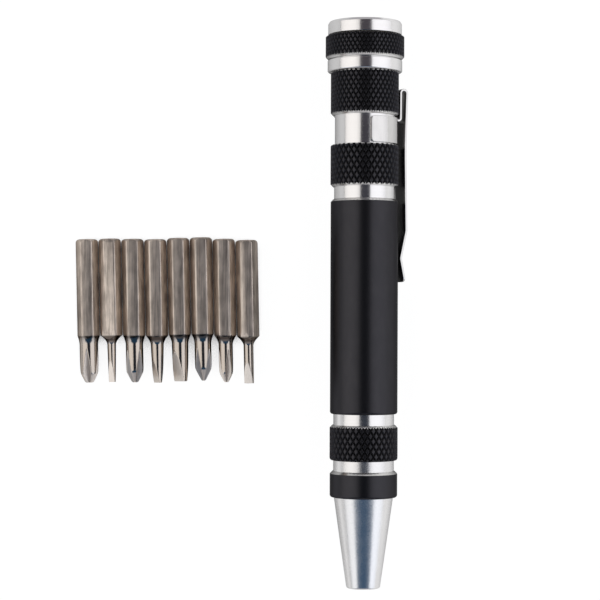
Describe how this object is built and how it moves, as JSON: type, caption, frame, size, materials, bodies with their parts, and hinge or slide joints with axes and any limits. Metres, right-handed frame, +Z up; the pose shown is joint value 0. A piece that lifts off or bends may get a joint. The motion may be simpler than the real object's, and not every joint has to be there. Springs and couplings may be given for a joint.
{
  "type": "pocket screwdriver",
  "caption": "Slim two-tone pocket screwdriver with a hexagon bit socket, hollow bit magazine, screwed tail plug, swivel top, sprung pocket clip and loose bits laid beside it.",
  "frame": {"origin": "centre of the hexagon socket's mouth at the nose tip, on the handle's axis", "axes": "+Y along the handle from nose to tail, +Z up from the surface that the wide ring and the bits lie on, +X towards the side with the pocket clip"},
  "size_m": [0.0648, 0.1089, 0.0152],
  "materials": {
    "bright_aluminium": "satin",
    "black_anodised": "satin",
    "spring_steel": "polished",
    "plated_magnet": "gloss",
    "white_nylon": "matte",
    "bit_steel": "satin"
  },
  "bodies": {
    "handle": {"nose_piece": "bright_aluminium", "socket_magnet": "plated_magnet", "front_ring": "black_anodised", "front_grip": "black_anodised", "core_tube": "bright_aluminium", "barrel_sleeve": "black_anodised", "rear_grip": "black_anodised", "upper_grip": "black_anodised", "clip_band": "spring_steel"},
    "clip_arm": {"clip_arm": "spring_steel"},
    "thrust_washer": {"thrust_washer": "white_nylon"},
    "tail_plug": {"tail_plug": "bright_aluminium", "plug_grip": "black_anodised"},
    "swivel_top": {"swivel_top": "bright_aluminium", "retaining_ring": "spring_steel"},
    "bit_1": {"bit_1_cross": "bit_steel"},
    "bit_2": {"bit_2_slot": "bit_steel"},
    "bit_3": {"bit_3_cross": "bit_steel"},
    "bit_4": {"bit_4_slot": "bit_steel"},
    "bit_5": {"bit_5_slot": "bit_steel"},
    "bit_6": {"bit_6_cross": "bit_steel"},
    "bit_7": {"bit_7_cross": "bit_steel"},
    "bit_8": {"bit_8_slot": "bit_steel"}
  },
  "joints": [
    {"name": "clip_flex", "type": "hinge", "parent": "handle", "child": "clip_arm", "pos_m": [0.00679, 0.09548, -0.00346], "axis": [0.454, 0, 0.891], "range_deg": [0, 6], "stiffness_Nm_per_rad": 0.8},
    {"name": "plug_travel", "type": "slide", "parent": "handle", "child": "thrust_washer", "axis": [0, 1, 0], "range_m": [0, 0.00901]},
    {"name": "plug_turn", "type": "hinge", "parent": "thrust_washer", "child": "tail_plug", "pos_m": [0, 0.10607, 0], "axis": [0, 1, 0], "range_deg": [0, 4320]},
    {"name": "top_swivel", "type": "hinge", "parent": "tail_plug", "child": "swivel_top", "pos_m": [0, 0.10637, 0], "axis": [0, 1, 0], "continuous": true},
    {"name": "bit_1_lift", "type": "slide", "parent": "handle", "child": "bit_1", "axis": [0, 0, 1], "range_m": [0, 0.03]},
    {"name": "bit_2_lift", "type": "slide", "parent": "handle", "child": "bit_2", "axis": [0, 0, 1], "range_m": [0, 0.03]},
    {"name": "bit_3_lift", "type": "slide", "parent": "handle", "child": "bit_3", "axis": [0, 0, 1], "range_m": [0, 0.03]},
    {"name": "bit_4_lift", "type": "slide", "parent": "handle", "child": "bit_4", "axis": [0, 0, 1], "range_m": [0, 0.03]},
    {"name": "bit_5_lift", "type": "slide", "parent": "handle", "child": "bit_5", "axis": [0, 0, 1], "range_m": [0, 0.03]},
    {"name": "bit_6_lift", "type": "slide", "parent": "handle", "child": "bit_6", "axis": [0, 0, 1], "range_m": [0, 0.03]},
    {"name": "bit_7_lift", "type": "slide", "parent": "handle", "child": "bit_7", "axis": [0, 0, 1], "range_m": [0, 0.03]},
    {"name": "bit_8_lift", "type": "slide", "parent": "handle", "child": "bit_8", "axis": [0, 0, 1], "range_m": [0, 0.03]}
  ],
  "couplings": [
    {"joint": "plug_travel", "follows": "plug_turn", "m_per_rad": 0.00011937}
  ]
}
